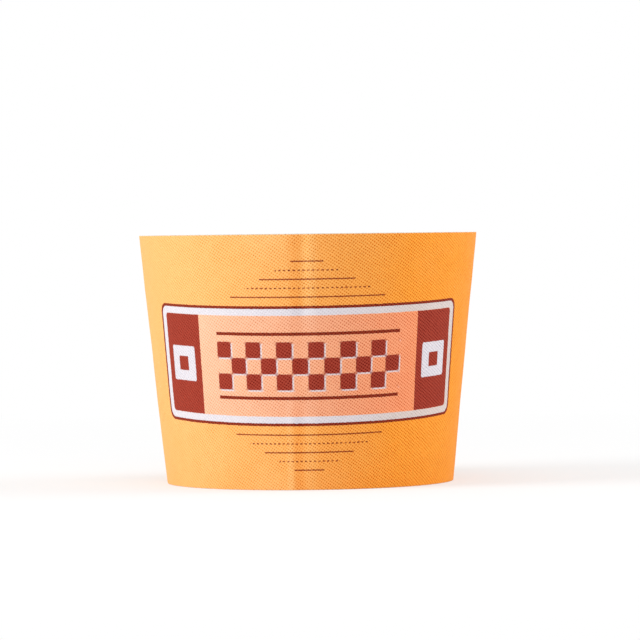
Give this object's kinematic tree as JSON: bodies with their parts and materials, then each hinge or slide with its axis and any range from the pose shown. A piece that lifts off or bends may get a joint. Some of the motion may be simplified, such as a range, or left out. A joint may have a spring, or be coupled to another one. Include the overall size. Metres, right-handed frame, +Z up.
{
  "type": "coffee cup sleeve",
  "caption": "Soft conical cloth sleeve, open at both ends, that slips over a takeaway cup to shield the hand from heat, with a printed panel at the front.",
  "frame": {"origin": "centre of the circle on which the bottom edge rests", "axes": "+Z up along the band's own axis towards the wide edge; the printed panel faces -Y and the back seam +Y"},
  "size_m": [0.0866, 0.0866, 0.0635],
  "materials": {
    "printed_cloth": "matte woven face, printed"
  },
  "bodies": {
    "root": {"sleeve_band": "printed_cloth"}
  },
  "joints": []
}
